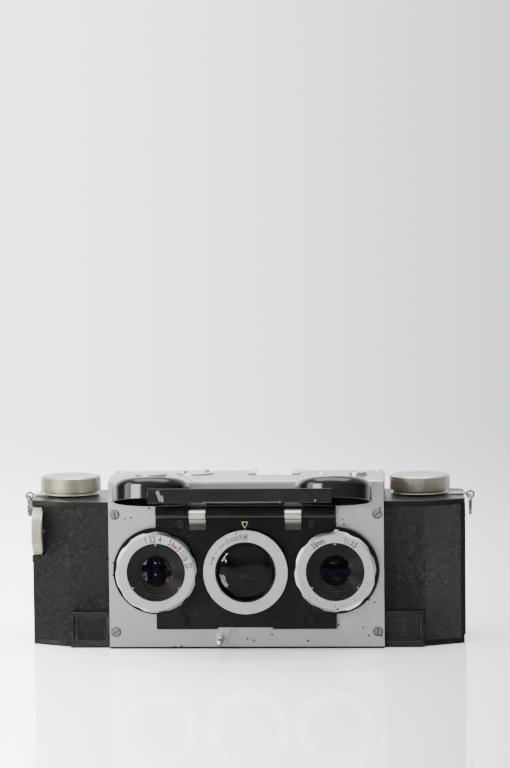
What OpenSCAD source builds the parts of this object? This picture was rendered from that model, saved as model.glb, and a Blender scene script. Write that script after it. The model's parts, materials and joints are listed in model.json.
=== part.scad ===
// Twin-lens stereo camera for 35 mm film, with its lens cover swung open.
// Frame: X to the right as seen from the front, +Y towards the back, +Z up. The base stands on Z = 0.
// The lenses look along -Y. All sizes are in millimetres.

/* [Body] */
// Half of the body's width, from the centre to an end face
half_w = 85.3; // [85:0.1:86]
// Height of the body's deck, on which the knobs stand
deck_z = 57.4; // [57:0.1:58]
// Front face of the wings
wing_y = -17; // [-17.5:0.1:-16.5]
// Rear face of the back cover
back_y = 25; // [24.5:0.1:27]
// Half of the front panel's width
panel_half = 53.9; // [53.5:0.1:54.5]
// Front face of the front panel
panel_y = -22; // [-22.5:0.1:-21.8]
// Top of the hood over the shutter
hood_z = 66.5; // [66:0.1:68]

/* [Lenses] */
// Distance of each taking lens from the middle
lens_x = 35; // [34.8:0.1:35.2]
// Height of the lens axes above the base
lens_z = 31.1; // [30.8:0.1:31.4]
// Outer radius of the two aperture rings
ring_r = 15.9; // [15.6:0.1:16.2]
// Outer radius of the speed ring round the finder lens
speed_r = 16.45; // [16:0.05:16.6]
// Front face of the three rings
ring_y = -28.5; // [-28.6:0.1:-28.2]

/* [Cover] */
// How far the open lens cover leans above the level
cover_lean = 13.6; // [8:0.1:20]
// Outer radius of the cover's two domes
dome_r = 14.8; // [14:0.1:15]

/* [Controls] */
// Radius of the winding and rewinding knobs
knob_r = 12; // [11:0.5:12.5]
// Top of the two knobs
knob_top = 65; // [64:0.5:67]
// Radius of the focusing wheel
wheel_r = 9.3; // [9:0.1:9.8]

/* [Hidden] */
$fn = 72;

base_t = 0.8;             // thickness of the base plate
part_y = 15;              // where the back cover meets the body
panel_t = 1.4;            // thickness of the front panel
panel_top = 65.1;         // top edge of the front panel, under the hood's lip
hood_back = 11;           // rear face of the hood
hood_t = 1.2;             // thickness of the hood's walls
taper_x = 70;             // where the wings start to slope back
end_y = -9;               // front edge of the end faces
slope = (end_y - wing_y) / (half_w - taper_x);
skin = 0.5;               // depth of the pockets that hold the leather
proud = 0.1;              // how far the leather stands out of its pocket
board_half = 35.3;        // half of the lens board's width
board_back = panel_y - 0.8;
board_y = board_back - 0.8;
case_r = 13.4;            // outer radius of a shutter case
sleeve_r = 14.3;          // outer radius of an aperture ring's sleeve
cell_r = 11.4;            // outer radius of a front lens cell
finder_r = 11.85;         // outer radius of the finder's tube
recess_half = 49.6;       // half of the pocket in the casting that takes the shutters
recess_y = -12;           // floor of that pocket
optic_z = 7.2;            // height of the rangefinder's beam and both eyepieces
range_x = -17;            // the rangefinder's eyepiece
range_y = -12.6;          // line of the rangefinder's cross beam
eye_r = 4.4;              // outer radius of an eyepiece tube
wind_x = -71.7;           // axis of the winding knob and take-up spool
rewind_x = 67.8;          // axis of the rewinding knob
spool_y = 9.5;            // both spools' axis, front to back
chamber_r = 13;           // radius of the film chamber that takes the cassette
wind_chamber_r = 12.2;    // radius of the take-up spool's chamber
chamber_low = 2.6;
chamber_high = 54.6;
sprocket_x = -53.35;
sprocket_y = 10.6;
gate_y = 13.4;            // film plane at infinity, the film gate's rear face
gate_t = 1.4;
gate_travel = 1.7;        // how far the film gate moves back for close focus
frame_w = 23;             // width of one picture on the film
frame_h = 24;             // height of one picture on the film
wheel_y = -10;            // axis of the focusing wheel and its shaft
wheel_z = 45.3;
wheel_out = -84.7;        // outer and inner faces of the focusing wheel
wheel_in = -80.7;
wheel_gap = 0.4;          // room round the focusing wheel in its notch
notch_end = wheel_in + 0.3;
focus_shaft_r = 0.9;
wheel_turn = 300;         // the focusing wheel's whole turn, in degrees
wheel_ridges = 92;
knob_ridges = 110;
cam_x = -18.6;
cam_r = 3;
hinge_y = -26.1;          // axis of the lens cover's hinge
hinge_z = 53.3;
clip_r = 1.9;             // outside of a hinge clip's loop
rim = 2.6;                // height of the domes' rims above the hinge line
dome_h = 8.6;             // height of a dome above its rim
dome_shoulder = 3.4;      // rounding of a dome's top edge
sheet = 0.7;              // thickness of the cover's sheet metal
lip_y = -38.8;            // the finger lip, from the hinge line with the cover level
lip_low = 0.3;
lip_high = 5.8;
clip_x = 18.7;            // middle of a hinge clip
clip_w = 6.4;
clip_gap = 3.5;           // half of the gap in the cover's barrel where a clip sits
lever_lean = 20.3;        // the cocking lever's angle from straight down
gear_module = 0.5;
lens_teeth = 62;
idler_teeth = 78;
shoe_x = 10.4;            // middle of the accessory shoe
shoe_front = -4.7;
bush_x = 26;              // tripod bush, threaded for a quarter-inch screw
bush_r = 3.175;
key_x = -34;              // axis of the key that locks the back
key_y = 8;
lug_x = 87.9;             // strap eye
lug_y = 6.5;
lug_z = 57.2;
strap_ring_r = 3.9;
blade_x = 4.6;            // pivot of a shutter blade, from its lens axis
blade_z = 9.4;

// ---------- helpers ----------

module block(x0, x1, y0, y1, z0, z1)
    translate([x0, y0, z0]) cube([x1 - x0, y1 - y0, z1 - z0]);

// A cylinder along Y from y0 to y1.
module along_y(r, y0, y1, x = 0, z = 0, r2 = -1)
    translate([x, y0, z]) rotate([-90, 0, 0])
        cylinder(r1 = r, r2 = r2 < 0 ? r : r2, h = y1 - y0);

// A cylinder along X from x0 to x1.
module along_x(r, x0, x1, y = 0, z = 0)
    translate([x0, y, z]) rotate([0, 90, 0]) cylinder(r = r, h = x1 - x0);

module at_lens(side) translate([side * lens_x, 0, lens_z]) children();

// Depth of a wing's front face at a distance x from the middle, set back by d.
function face_y(x, d = 0) = x <= taper_x ? wing_y + d
    : wing_y + (x - taper_x) * slope + d * sqrt(1 + slope * slope);

// A strip of a wing's skin between the distances x0 and x1, from depth d0 in to depth d1.
module wing_strip(x0, x1, d0, d1, z0, z1)
    translate([0, 0, z0]) linear_extrude(z1 - z0)
        polygon([[x0, face_y(x0, d0)], [taper_x, face_y(taper_x, d0)], [x1, face_y(x1, d0)],
            [x1, face_y(x1, d1)], [taper_x - d1 * slope / 2, face_y(taper_x, d1)],
            [x0, face_y(x0, d1)]]);

// The body's plan, from its sloped front to the parting line at y1.
module body_plan(y1)
    polygon([[-half_w, y1], [-half_w, end_y], [-taper_x, wing_y], [taper_x, wing_y],
        [half_w, end_y], [half_w, y1]]);

// Outline of a spur gear with straight-sided teeth.
module gear_outline(teeth, module_size, phase = 0) {
    pitch = teeth * module_size / 2;
    step = 360 / teeth;
    polygon([for (i = [0:teeth - 1]) for (p = [[-0.36, -1.15], [-0.17, 0.8], [0.17, 0.8], [0.36, -1.15]])
        let (a = (i + p[0]) * step + phase, r = pitch + p[1] * module_size)
        [r * cos(a), r * sin(a)]]);
}

// Outline of a knurled edge: small ridges round a circle.
module knurled(r, ridges, depth)
    polygon([for (i = [0:ridges - 1]) for (p = [[-0.3, 0], [0.3, 0], [0.5, -depth]])
        let (a = (i + p[0]) * 360 / ridges) [(r + p[1]) * cos(a), (r + p[1]) * sin(a)]]);

// A coil spring of round wire, standing on z = 0.
module coil_spring(r, wire, height, turns) {
    sides = 6;
    per_turn = 12;
    rings = turns * per_turn;
    points = [for (i = [0:rings]) for (s = [0:sides - 1])
        let (a = i * 360 / per_turn, b = s * 360 / sides, q = r + wire * cos(b))
        [q * cos(a), q * sin(a), wire + i * (height - 2 * wire) / rings + wire * sin(b)]];
    walls = [for (i = [0:rings - 1]) for (s = [0:sides - 1])
        let (t = (s + 1) % sides)
        [i * sides + s, (i + 1) * sides + s, (i + 1) * sides + t, i * sides + t]];
    polyhedron(points, concat(walls, [[for (s = [0:sides - 1]) s]],
        [[for (s = [sides - 1:-1:0]) rings * sides + s]]));
}

// A slotted screw along -Y: its head's seat is at y, its shank goes back from there.
module screw_y(x, y, z, head_r, head_h, shank, slot_angle)
    translate([x, y, z]) {
        difference() {
            along_y(head_r * 0.8, -head_h, 0, 0, 0, head_r);
            rotate([0, -slot_angle, 0]) block(-head_r, head_r, -head_h - 1, -head_h * 0.4, -0.22, 0.22);
        }
        along_y(head_r * 0.5, 0, shank);
    }

// ---------- casings ----------

module film_chamber(x, r) {
    translate([x, spool_y, chamber_low]) cylinder(r = r, h = chamber_high - chamber_low);
    block(x - r, x + r, spool_y, part_y + 1, chamber_low, chamber_high);
}

module body_casting() color([0.06, 0.06, 0.06]) difference() {
    translate([0, 0, base_t]) linear_extrude(deck_z - base_t) body_plan(part_y);
    // pockets for the leather on both wings
    for (m = [0, 1]) mirror([m, 0, 0]) {
        wing_strip(panel_half, half_w - 1.2, -1, skin, 14.5, deck_z - 2);
        difference() {
            wing_strip(panel_half, half_w - 1.2, -1, skin, 2.2, 14.6);
            block(panel_half - 1, 69.9, -20, 0, 0, 14.5);
        }
        // light way behind each rangefinder window
        block(55.7, 66.6, -20, range_y, 3.1, 11.6);
    }
    // pocket for the shutters, and the light chamber behind each lens
    block(-recess_half, recess_half, -30, recess_y, 2.8, 54);
    for (s = [-1, 1]) block(s * lens_x - 13.5, s * lens_x + 13.5, recess_y - 1, part_y + 1, 18, 44);
    // film chambers, open at the back
    film_chamber(wind_x, wind_chamber_r);
    film_chamber(rewind_x, chamber_r);
    // film path and sprocket well
    block(-60, 60, gate_y - gate_t - 0.3, part_y + 1, 12.2, 50);
    translate([sprocket_x, sprocket_y, 12.2]) cylinder(r = 4.75, h = 37.8);
    block(sprocket_x - 4.75, sprocket_x + 4.75, sprocket_y, part_y + 1, 12.2, 50);
    translate([sprocket_x, sprocket_y, 8]) cylinder(r = 1.26, h = 46);
    // cross tunnel of the rangefinder, the finder's well and the two eyepiece ways
    block(-66.6, 66.6, -16, -9, 2.8, 11.8);
    block(-11.5, 11.5, recess_y - 1, 3, 2.8, 46);
    block(range_x - eye_r, range_x + eye_r, -10, 6, 2.8, 11.6);
    for (x = [0, range_x]) along_y(eye_r + 0.02, 0, part_y + 1, x, optic_z);
    // focusing wheel's notch, its shaft's bore and the cam's cavity
    along_x(wheel_r + wheel_gap, -half_w - 1, notch_end, wheel_y, wheel_z);
    along_x(focus_shaft_r + 0.06, wheel_in - 1, cam_x, wheel_y, wheel_z);
    block(cam_x - 2, cam_x + 2.4, wheel_y - 5, wheel_y + 5.5, wheel_z - 5.4, wheel_z + 5.4);
    along_y(1.26, wheel_y + 5, part_y, cam_x, wheel_z);
    for (x = [-6, 18]) for (z = [15, 46.5]) along_y(1.02, 4, part_y + 1, x, z);
    // ways for the knobs' shafts and the release rod
    translate([wind_x, spool_y, 50]) cylinder(r = 2.25, h = 10);
    translate([rewind_x, spool_y, 50]) cylinder(r = 4.55, h = 10);
    translate([-38.3, -14.5, 50]) cylinder(r = 1.2, h = 10);
    // panel screws
    for (x = [-51.4, 51.4]) for (z = [6.7, 53.1]) along_y(0.95, -18, -11, x, z);
    // tripod bush, and the latch key with the room its arm sweeps
    translate([bush_x, 0, 0]) cylinder(r = 6, h = 7.5);
    translate([key_x, key_y, 0]) cylinder(r = 6.2, h = 1.8);
    translate([key_x, key_y, 0]) cylinder(r = 1.55, h = 3);
    translate([key_x, key_y, 2.5]) cylinder(r = 11.8, h = 1.6);
}

module base_plate() color([0.05, 0.05, 0.05]) difference() {
    union() {
        linear_extrude(base_t) body_plan(part_y - 0.1);
        block(-panel_half, panel_half, panel_y + 0.1, wing_y + 1, 0, base_t);
        for (m = [0, 1]) mirror([m, 0, 0]) block(panel_half, 69.6, -19.5, wing_y + 1, 0, base_t);
    }
    translate([bush_x, 0, -1]) cylinder(r = 6, h = 4);
    translate([key_x, key_y, -1]) cylinder(r = 6.2, h = 4);
}

module tripod_bush() color([0.75, 0.72, 0.66]) difference() {
    translate([bush_x, 0, 0]) cylinder(r = 6, h = 7.5);
    translate([bush_x, 0, -1]) cylinder(r = bush_r, h = 7.5);
}

module front_panel() color([0.78, 0.79, 0.78]) difference() {
    block(-panel_half, panel_half, panel_y, panel_y + panel_t, base_t, panel_top);
    for (s = [-1, 1]) at_lens(s) along_y(sleeve_r + 0.1, -30, 0);
    along_y(finder_r + 0.02, -30, 0, 0, lens_z);
    for (x = [-51.4, 51.4]) for (z = [6.7, 53.1]) along_y(0.95, -30, 0, x, z);
    for (p = board_screw_places()) along_y(1.05, -30, 0, p[0], p[1]);
}

// The hood: a lid over the shutter works, with cheeks beside the front panel.
module top_hood() color([0.78, 0.79, 0.78]) difference() {
    union() {
        block(-panel_half, panel_half, panel_y + panel_t, hood_back, panel_top, hood_z);
        intersection() {
            along_x(panel_t, -panel_half, panel_half, panel_y + panel_t, panel_top);
            block(-panel_half, panel_half, panel_y, panel_y + panel_t, panel_top, hood_z);
        }
        difference() {
            block(-panel_half, panel_half, panel_y + panel_t, hood_back, deck_z, panel_top + 0.1);
            block(hood_t - panel_half, panel_half - hood_t, -40, hood_back - hood_t, deck_z - 1, panel_top);
        }
        for (m = [0, 1]) mirror([m, 0, 0])
            block(panel_half - hood_t, panel_half, panel_y + panel_t, wing_y, base_t, deck_z + 0.1);
        // floor and walls of the recess for the accessory shoe
        block(shoe_x - 11.2, shoe_x + 11.2, shoe_front - 1, hood_back, 63, panel_top + 0.1);
    }
    block(shoe_x - 10.2, shoe_x + 10.2, shoe_front, hood_back + 1, 64.2, hood_z + 1);
    translate([-21.2, 2, 60]) cylinder(r = 1.3, h = 10);
    translate([-38.3, -5, 60]) cylinder(r = 6.35, h = 10);
    translate([43.6, -6, 60]) cylinder(r = 2.4, h = 10);
    for (p = hood_screw_places()) translate([p[0], p[1], 60]) cylinder(r = 0.85, h = 10);
    for (y = [0, 7]) translate([shoe_x, y, 60]) cylinder(r = 0.85, h = 10);
}

module lens_board() color([0.05, 0.05, 0.055]) difference() {
    union() {
        block(-board_half, board_half, board_y, board_back, 8, 56.6);
        for (s = [-1, 1]) at_lens(s) along_y(17.1, board_y - 0.5, board_y + 0.1);
    }
    for (s = [-1, 1]) at_lens(s) along_y(sleeve_r + 0.2, -30, 0);
    along_y(finder_r + 0.05, -30, 0, 0, lens_z);
    block(-11.3, 10.2, -30, 0, 7, 8.65);
    for (p = board_screw_places()) along_y(1.05, -30, 0, p[0], p[1]);
}

// Leather on the wing at +X. It leaves the corner of the window frame free.
module wing_leather() difference() {
    wing_strip(panel_half + 0.1, half_w - 1.3, -proud, skin, 2.3, deck_z - 2.1);
    block(panel_half - 1, 69.95, -20, 0, 0, 14.6);
}

module left_front_leather() color([0.09, 0.085, 0.08]) difference() {
    mirror([1, 0, 0]) wing_leather();
    along_x(wheel_r + wheel_gap, -half_w - 1, notch_end, wheel_y, wheel_z);
}
module right_front_leather() color([0.09, 0.085, 0.08]) wing_leather();

module window_frame() color([0.07, 0.07, 0.07]) difference() {
    block(panel_half + 0.05, 69.7, -19.6, wing_y, base_t, 14.3);
    block(54.8, 68.2, -20, -18.6, 2.2, 12.6);
    block(55.7, 66.6, -20, -16, 3.1, 11.6);
}
module window_frames() for (m = [0, 1]) mirror([m, 0, 0]) window_frame();

module window_glasses() color([0.5, 0.55, 0.6, 0.5]) for (m = [0, 1]) mirror([m, 0, 0])
    block(55.75, 66.55, -18.3, -17.4, 3.15, 11.55);

module back_cover() color([0.06, 0.06, 0.06]) difference() {
    block(-half_w, half_w, part_y + 0.02, back_y, 0, deck_z);
    block(2 - half_w, half_w - 2, part_y - 1, back_y - 2, 1.8, deck_z - 1.8);
    // rounded rear corners
    for (m = [0, 1]) mirror([m, 0, 0]) difference() {
        block(half_w - 4, half_w + 1, back_y - 4, back_y + 1, -1, deck_z + 1);
        translate([half_w - 4, back_y - 4, -2]) cylinder(r = 4, h = deck_z + 4);
    }
    for (x = [0, range_x]) along_y(eye_r + 0.3, part_y, back_y + 1, x, optic_z);
}

// ---------- lenses and shutters ----------

module shutter_case() difference() {
    union() {
        along_y(case_r, -25.7, recess_y);
        along_y(14.5, recess_y - 1.2, recess_y);
    }
    along_y(cell_r + 0.02, -30, -19);
    along_y(12.6, -20.4, -13.2);
    along_y(8.82, -14, -10);
}
module shutter_cases() color([0.1, 0.1, 0.1]) for (s = [-1, 1]) at_lens(s) shutter_case();

// Front cell: a black tube whose mouth steps down to the front glass.
module front_cell() difference() {
    along_y(cell_r, -28.2, -20.6);
    for (s = [[10.6, -27.4], [9.6, -26.8], [8.6, -26.1], [7.6, -25.4], [6.8, -24.7]])
        along_y(s[0], -29, s[1]);
    along_y(6.02, -29, -20);
}
module front_cells() color([0.04, 0.04, 0.04]) for (s = [-1, 1]) at_lens(s) front_cell();

module rear_cells() color([0.04, 0.04, 0.04]) for (s = [-1, 1]) at_lens(s) difference() {
    along_y(8.8, -16.4, -8);
    along_y(5.52, -17, -7);
    along_y(7.4, -9.5, -7);
}

// A lens with two round faces: the bulges of its front and back are f and b (negative is hollow).
module glass(r, y0, y1, f, b) {
    steps = 8;
    function sag(q, h) = h == 0 ? 0 :
        let (ball = (r * r + h * h) / (2 * abs(h))) sign(h) * (sqrt(ball * ball - q * q) - ball + abs(h));
    translate([0, y0, 0]) rotate([-90, 0, 0]) rotate_extrude() polygon(concat(
        [for (i = [0:steps]) let (q = r * i / steps) [q, -sag(q, f)]],
        [for (i = [steps:-1:0]) let (q = r * i / steps) [q, y1 - y0 + sag(q, b)]]));
}
module lens_set() {
    glass(6, -24.4, -23.2, 1, 0.3);
    glass(6, -22.6, -20.9, -0.4, -0.4);
    glass(5.5, -12.4, -11, 0.3, 0.9);
}
module lens_elements() color([0.6, 0.65, 0.8, 0.4]) for (s = [-1, 1]) at_lens(s) lens_set();

// Six thin leaves in each iris, stacked a little apart.
module iris_blades() color([0.12, 0.12, 0.12]) for (s = [-1, 1]) at_lens(s) for (i = [0:5])
    rotate([0, i * 60, 0]) translate([0, -19.9 + i * 0.14, 0]) difference() {
        intersection() {
            along_y(12.2, 0, 0.09);
            block(0, 13, -1, 1, 0, 13);
        }
        along_y(4.5, -1, 1);
    }

// One blade of a between-lens shutter: a half disc on a pivot arm above the lens.
// hand is the side of the lens that the blade covers.
module shutter_blade(side, hand) color([0.15, 0.15, 0.15]) at_lens(side)
    translate([0, hand > 0 ? -18.1 : -17.7, 0]) mirror([hand > 0 ? 0 : 1, 0, 0]) difference() {
        union() {
            intersection() {
                along_y(6.8, 0, 0.2);
                block(-0.4, 7, -1, 1, -7, 7);
            }
            along_y(1.4, 0, 0.2, blade_x, blade_z);
            block(blade_x - 1.4, blade_x + 1.4, 0, 0.2, 3, blade_z);
        }
        along_y(0.6, -1, 1, blade_x, blade_z);
    }
module left_inner_blade() shutter_blade(-1, 1);
module left_outer_blade() shutter_blade(-1, -1);
module right_inner_blade() shutter_blade(1, -1);
module right_outer_blade() shutter_blade(1, 1);

// An aperture ring: ten lands and ten valleys round its edge, and its gear behind the panel.
module edged_ring() {
    difference() {
        union() {
            along_y(ring_r, ring_y + 0.8, -25.75);
            translate([0, ring_y + 0.81, 0]) rotate([90, 0, 0])
                cylinder(r1 = ring_r, r2 = ring_r - 1.1, h = 0.81);
        }
        along_y(cell_r + 0.06, -30, -20);
        for (i = [0:9]) rotate([0, i * 36 + 8, 0]) translate([ring_r + 9.55, 0, 0]) along_y(10, -30, -20);
    }
    difference() {
        union() {
            along_y(sleeve_r, -25.8, -19.6);
            translate([0, -19.6, 0]) rotate([90, 0, 0]) linear_extrude(0.8)
                gear_outline(lens_teeth, gear_module);
        }
        along_y(case_r + 0.06, -25.7, -19);
        along_y(cell_r + 0.06, -30, -20);
    }
}
module aperture_ring() color([0.8, 0.8, 0.8]) at_lens(-1) edged_ring();
module twin_aperture_ring() color([0.8, 0.8, 0.8]) at_lens(1) edged_ring();

module iris_idler_gear() color([0.75, 0.65, 0.35]) translate([0, -19.6, lens_z]) rotate([90, 0, 0])
    linear_extrude(0.8) difference() {
        gear_outline(idler_teeth, gear_module, 180 / idler_teeth);
        circle(r = finder_r + 0.06);
    }

module speed_ring() color([0.8, 0.8, 0.8]) translate([0, 0, lens_z]) difference() {
    union() {
        along_y(speed_r, ring_y, -25.75);
        for (a = [-38, -217]) rotate([0, a, 0])
            block(finder_r + 0.1, speed_r - 0.05, ring_y - 0.7, ring_y + 0.1, -0.8, 0.8);
    }
    along_y(finder_r + 0.06, -30, -20);
}

module finder_tube() color([0.05, 0.05, 0.05]) translate([0, 0, lens_z]) difference() {
    union() {
        along_y(finder_r, -28.3, -15);
        along_y(15.2, -25.7, board_y - 0.02);
    }
    along_y(11.2, -29, -24);
    block(-7.2, 7.2, -30, -10, -5.4, 5.4);
    along_y(9, -17.4, -10);
}

module finder_lenses() color([0.6, 0.65, 0.75, 0.4]) translate([0, 0, lens_z]) {
    glass(11.15, -26.8, -24.6, 2, -0.3);
    glass(8.9, -17.3, -15.2, -0.5, -0.6);
}

// The finder's light is turned down by one mirror and back by another, to run under the film.
module finder_mirrors() color([0.8, 0.85, 0.9]) {
    translate([0, -4.5, lens_z]) rotate([45, 0, 0]) block(-9, 9, -0.6, 0.6, -9, 9);
    translate([0, -4.5, optic_z]) rotate([-45, 0, 0]) block(-4.2, 4.2, -0.5, 0.5, -5, 5);
}

module eyepiece_tubes() color([0.05, 0.05, 0.05]) for (x = [0, range_x]) difference() {
    along_y(eye_r, 8, back_y + 2, x, optic_z);
    along_y(3.4, 7, back_y + 3, x, optic_z);
}

module eyepiece_lenses() color([0.6, 0.65, 0.75, 0.4]) for (x = [0, range_x])
    translate([x, 0, optic_z]) glass(3.38, back_y - 1.4, back_y + 0.4, 0.3, 0.6);

module slanted_mirror(x, turn) translate([x, range_y, optic_z]) rotate([0, 0, turn])
    block(-4.2, 4.2, -0.5, 0.5, -3.6, 3.6);
module left_range_mirror() color([0.8, 0.85, 0.9]) slanted_mirror(-61.5, 45);
module range_mirror() color([0.8, 0.85, 0.9]) {
    slanted_mirror(61.5, -45);
    translate([61.5, range_y, optic_z - 4.2]) cylinder(r = 0.8, h = 8.4);
}
module beam_splitter() color([0.7, 0.75, 0.8, 0.6]) slanted_mirror(range_x, 45);

// ---------- fittings on the hood ----------

// A shoe for a flash foot: floor, two side walls and lips folded inwards.
module accessory_shoe() color([0.75, 0.76, 0.76]) difference() {
    block(shoe_x - 9.9, shoe_x + 9.9, shoe_front + 0.6, hood_back - 0.2, 64.2, 67.3);
    block(shoe_x - 9.3, shoe_x + 9.3, shoe_front + 1.4, hood_back + 1, 64.9, 66.7);
    block(shoe_x - 7, shoe_x + 7, shoe_front - 1, hood_back + 1, 64.9, 68);
    for (y = [0, 7]) translate([shoe_x, y, 60]) cylinder(r = 0.85, h = 10);
}

module counter_dial() color([0.78, 0.78, 0.78]) translate([-21.2, 2, 0]) {
    translate([0, 0, hood_z + 0.02]) cylinder(r = 7.5, h = 0.5);
    for (a = [20, 200]) rotate([0, 0, a]) translate([4.6, 0, hood_z + 0.4]) cylinder(r = 1.2, h = 0.9);
    translate([0, 0, 61]) cylinder(r = 1.25, h = hood_z - 60.9);
    translate([0, 0, 61]) linear_extrude(1) knurled(5.6, 30, 0.5);
}

module shutter_button() color([0.8, 0.8, 0.8]) {
    translate([-38.3, -5, 64.2]) cylinder(r = 6.2, h = 3.2);
    translate([-38.3, -5, 63.4]) cylinder(r = 7, h = 0.85);
    block(-40.3, -36.3, -15.5, -5, 63.4, 64.2);
    translate([-38.3, -14.5, 52]) cylinder(r = 1.1, h = 12);
}

module shutter_button_spring() color([0.7, 0.7, 0.7]) translate([-38.3, -5, deck_z + 0.05])
    coil_spring(4.5, 0.3, 5.9, 4);

module film_release_button() color([0.8, 0.8, 0.8]) translate([43.6, -6, 0]) {
    translate([0, 0, 61]) cylinder(r = 2.3, h = 6.7);
    translate([0, 0, 61]) cylinder(r = 3.4, h = 0.8);
}
module release_collar() color([0.8, 0.8, 0.8]) translate([43.6, -6, hood_z]) difference() {
    cylinder(r = 3.7, h = 1.5);
    translate([0, 0, -1]) cylinder(r = 2.4, h = 4);
}

// ---------- knobs, spools and film drive ----------

module finger_knob() {
    translate([0, 0, 59.2]) linear_extrude(knob_top - 59.2 - 0.4) knurled(knob_r, knob_ridges, 0.4);
    translate([0, 0, knob_top - 0.41]) cylinder(r1 = knob_r - 0.3, r2 = knob_r - 0.7, h = 0.41);
    translate([0, 0, 58]) cylinder(r1 = 11.4, r2 = 10.8, h = 1.2);
    translate([0, 0, deck_z + 0.06]) cylinder(r = 5, h = 0.8);
}

module winding_knob() color([0.72, 0.71, 0.66]) translate([wind_x, spool_y, 0]) {
    finger_knob();
    translate([0, 0, 52.5]) cylinder(r = 2.2, h = 6);
}

module take_up_spool() color([0.08, 0.08, 0.08]) translate([wind_x, spool_y, 0]) difference() {
    union() {
        translate([0, 0, 4]) cylinder(r = 5, h = 48.4);
        for (z = [4, 51.2]) translate([0, 0, z]) cylinder(r = 11.8, h = 1.2);
    }
    block(-6, 0, -0.6, 0.6, 14, 48);
}

module film_sprocket() color([0.6, 0.6, 0.6]) translate([sprocket_x, sprocket_y, 0]) {
    translate([0, 0, 8.2]) cylinder(r = 1.2, h = 45.4);
    translate([0, 0, 13.8]) cylinder(r = 2.8, h = 34.6);
    for (z = [15.6, 44.2]) translate([0, 0, z]) {
        cylinder(r = 3.6, h = 2.4);
        for (i = [0:4]) rotate([0, 0, i * 72]) block(3, 4.5, -0.6, 0.6, 0.7, 1.7);
    }
}

module rewind_bush() color([0.7, 0.68, 0.6]) translate([rewind_x, spool_y, 0]) difference() {
    translate([0, 0, chamber_high + 0.05]) cylinder(r = 4.5, h = deck_z - chamber_high - 0.05);
    translate([0, 0, 50]) cylinder(r = 2.25, h = 10);
}

module rewind_knob() color([0.72, 0.71, 0.66]) translate([rewind_x, spool_y, 0]) {
    finger_knob();
    translate([0, 0, 51]) cylinder(r = 2.2, h = 7.5);
    block(-1.9, 1.9, -0.6, 0.6, 46, 51.1);
}

// ---------- focusing ----------

module focus_wheel() color([0.75, 0.75, 0.72]) translate([0, wheel_y, wheel_z]) {
    translate([wheel_out + 0.4, 0, 0]) rotate([0, 90, 0]) linear_extrude(wheel_in - wheel_out - 0.8)
        knurled(wheel_r, wheel_ridges, 0.35);
    along_x(wheel_r - 0.5, wheel_out, wheel_in);
}

// Shaft with a cam whose radius grows evenly over the wheel's turn and then drops back,
// so that turning it slides the film gate back.
module focus_cam_shaft() color([0.6, 0.6, 0.6]) translate([0, wheel_y, wheel_z]) {
    along_x(focus_shaft_r, wheel_in, cam_x + 1.2);
    translate([cam_x - 1, 0, 0]) rotate([90, 0, 90]) linear_extrude(2)
        polygon([for (a = [0:10:350])
            let (r = cam_r + gate_travel * max(0, min(a, (wheel_turn + 30 - a) * 10)) / wheel_turn)
            [r * cos(a), r * sin(a)]]);
}

module focus_pointer() color([0.8, 0.8, 0.8])
    block(-half_w - 0.4, -half_w, end_y + 0.2, end_y + 2.2, wheel_z - wheel_r - 3.4, wheel_z - wheel_r - 0.8);

// The film gate with its two picture openings, and the rod that follows the cam.
module film_gate() color([0.1, 0.1, 0.1]) {
    difference() {
        block(-48, 48, gate_y - gate_t, gate_y, 12.7, 49.5);
        for (s = [-1, 1]) block(s * lens_x - frame_w / 2, s * lens_x + frame_w / 2, 0, 20,
            lens_z - frame_h / 2, lens_z + frame_h / 2);
        for (x = [-6, 18]) for (z = [15, 46.5]) along_y(1.06, 0, 20, x, z);
    }
    along_y(1.2, wheel_y + cam_r + 0.08, gate_y - gate_t + 0.2, cam_x, wheel_z);
}

module gate_guide_pins() color([0.7, 0.7, 0.7])
    for (x = [-6, 18]) for (z = [15, 46.5]) along_y(1, 4, gate_y - 0.2, x, z);

module pressure_plate() color([0.12, 0.12, 0.12]) {
    block(-47.5, 47.5, gate_y + 0.2, gate_y + 1.2, 13.2, 49);
    for (s = [-1, 1]) for (d = [-1, 1]) translate([s * lens_x, gate_y + 1.2, lens_z])
        rotate([0, 0, d * 28]) block(d > 0 ? 0 : -11, d > 0 ? 11 : 0, -0.02, 0.38, -4, 4);
}

// ---------- lens cover and its hinge ----------

// A dome of sheet metal on its rim plane, with a rounded shoulder.
module dome_solid(r, h, shoulder) rotate_extrude() {
    square([r - shoulder, h]);
    square([r, h - shoulder]);
    translate([r - shoulder, h - shoulder]) intersection() {
        circle(r = shoulder);
        square(shoulder);
    }
}

// The cover lying level, hinge line at the origin, reaching out along -Y with its domes up.
module level_cover() {
    reach = hinge_z - lens_z;
    difference() {
        union() {
            block(-lens_x, lens_x, lip_y - 0.1, -2.2, rim + 0.9, rim + 0.9 + sheet);
            for (s = [-1, 1]) translate([s * lens_x, -reach, rim]) dome_solid(dome_r, dome_h, dome_shoulder);
        }
        for (s = [-1, 1]) translate([s * lens_x, -reach, rim - 0.01])
            dome_solid(dome_r - sheet, dome_h - sheet, dome_shoulder - sheet);
        for (s = [-1, 1]) block(s * clip_x - clip_gap, s * clip_x + clip_gap, -4.5, 2, -5, 9);
    }
    // finger lip along the free edge
    block(-lens_x, lens_x, lip_y - sheet, lip_y, lip_low, lip_high);
    // barrels round the hinge rod, each joined to the plate by a web
    for (x = [[-35, -clip_x - clip_gap], [-clip_x + clip_gap, clip_x - clip_gap], [clip_x + clip_gap, 35]])
        difference() {
            union() {
                along_x(1.4, x[0], x[1]);
                block(x[0], x[1], -2.9, -2.2, -0.2, rim + 1);
                block(x[0], x[1], -2.9, -0.6, -0.4, 0.3);
            }
            along_x(0.86, x[0] - 1, x[1] + 1);
        }
}
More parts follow.
